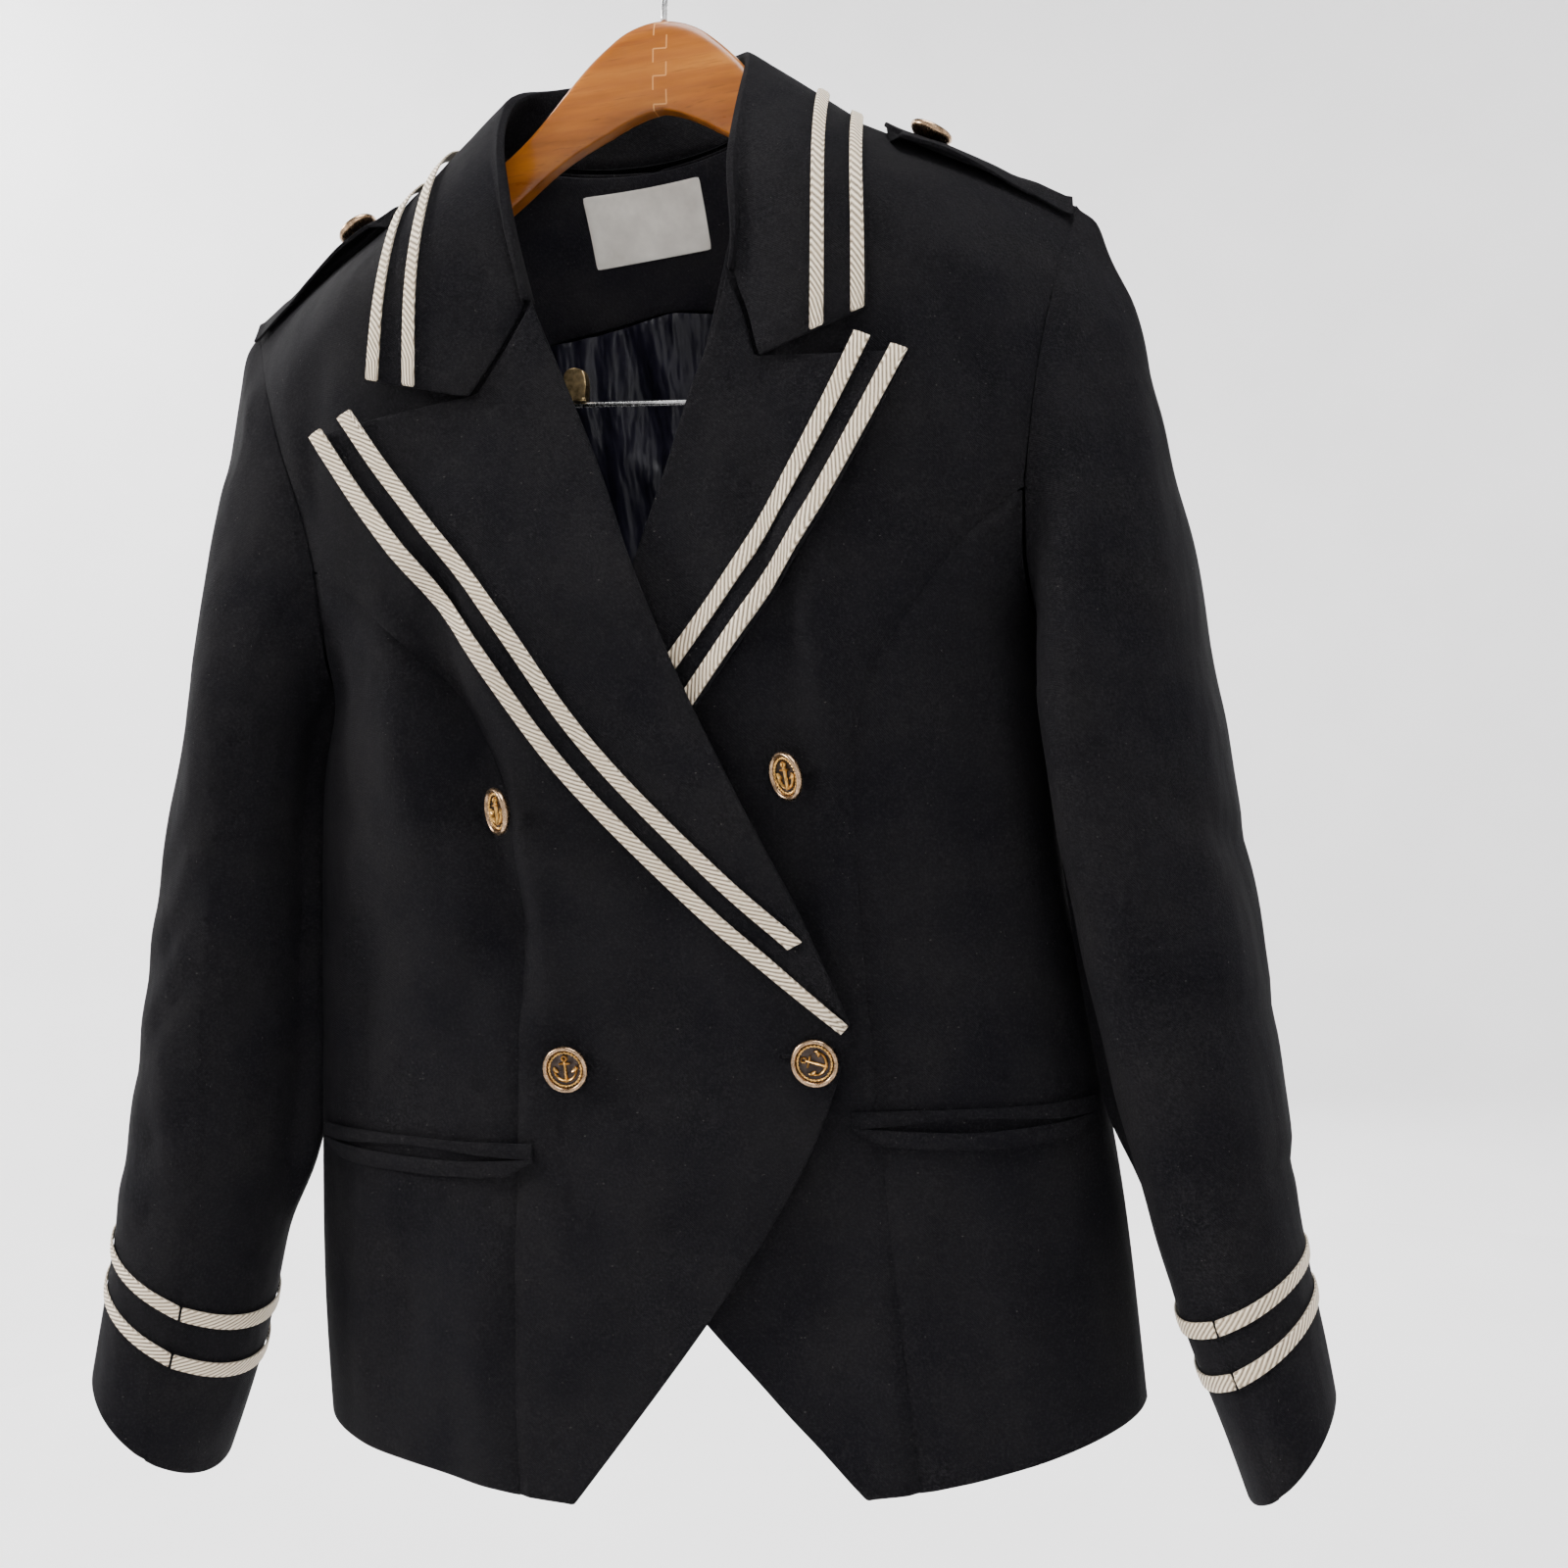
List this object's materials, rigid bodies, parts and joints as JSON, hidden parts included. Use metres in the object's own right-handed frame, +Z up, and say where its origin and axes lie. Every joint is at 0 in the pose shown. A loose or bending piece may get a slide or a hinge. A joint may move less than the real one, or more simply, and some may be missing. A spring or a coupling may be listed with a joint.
{
  "type": "nautical blazer on a wooden hanger",
  "caption": "Navy double-breasted blazer: peak lapels, pale braid on collar, lapels and cuffs, anchor buttons and cutaway hem, hung flat on a wooden hanger with hook and bar.",
  "frame": {"origin": "the point at the top inside the hook that rests on a rail", "axes": "+Z up as the blazer hangs, the front faces -Y, +X to the right as seen from the front"},
  "size_m": [0.599, 0.1504, 0.7551],
  "materials": {
    "suiting": "matt near-black navy wool twill",
    "braid": "cream ribbed braid with a slight lustre",
    "lining": "satin-woven lining",
    "label": "smooth woven label, blank",
    "wood": "clear gloss varnish",
    "steel": "bright plated wire",
    "clip_metal": "worn brass",
    "button_metal": "warm silver plate",
    "anchor_metal": "gold wash"
  },
  "bodies": {
    "root": {"anchor_epaulette_left": "anchor_metal", "anchor_epaulette_right": "anchor_metal", "anchor_lower_left": "anchor_metal", "anchor_lower_right": "anchor_metal", "anchor_upper_left": "anchor_metal", "anchor_upper_right": "anchor_metal", "back_left": "suiting", "back_lining": "lining", "back_right": "suiting", "bar_clip": "clip_metal", "button_epaulette_left": "button_metal", "button_epaulette_right": "button_metal", "button_lower_left": "button_metal", "button_lower_right": "button_metal", "button_upper_left": "button_metal", "button_upper_right": "button_metal", "collar": "suiting", "collar_braid_inner": "braid", "collar_braid_outer": "braid", "cuff_braid_lower_left": "braid", "cuff_braid_lower_right": "braid", "cuff_braid_upper_left": "braid", "cuff_braid_upper_right": "braid", "epaulette_left": "suiting", "epaulette_right": "suiting", "front_left": "suiting", "front_right": "suiting", "hanger_wood": "wood", "hook": "steel", "label": "label", "lapel_braid_inner_left": "braid", "lapel_braid_inner_right": "braid", "lapel_braid_outer_left": "braid", "lapel_braid_outer_right": "braid", "lapel_left": "suiting", "lapel_right": "suiting", "neck_facing": "suiting", "pocket_welt_lower_left": "suiting", "pocket_welt_lower_right": "suiting", "pocket_welt_upper_left": "suiting", "pocket_welt_upper_right": "suiting", "side_back_left": "suiting", "side_back_right": "suiting", "side_front_left": "suiting", "side_front_right": "suiting", "sleeve_under_left": "suiting", "sleeve_under_right": "suiting", "sleeve_upper_left": "suiting", "sleeve_upper_right": "suiting", "trouser_bar": "steel"}
  },
  "joints": []
}
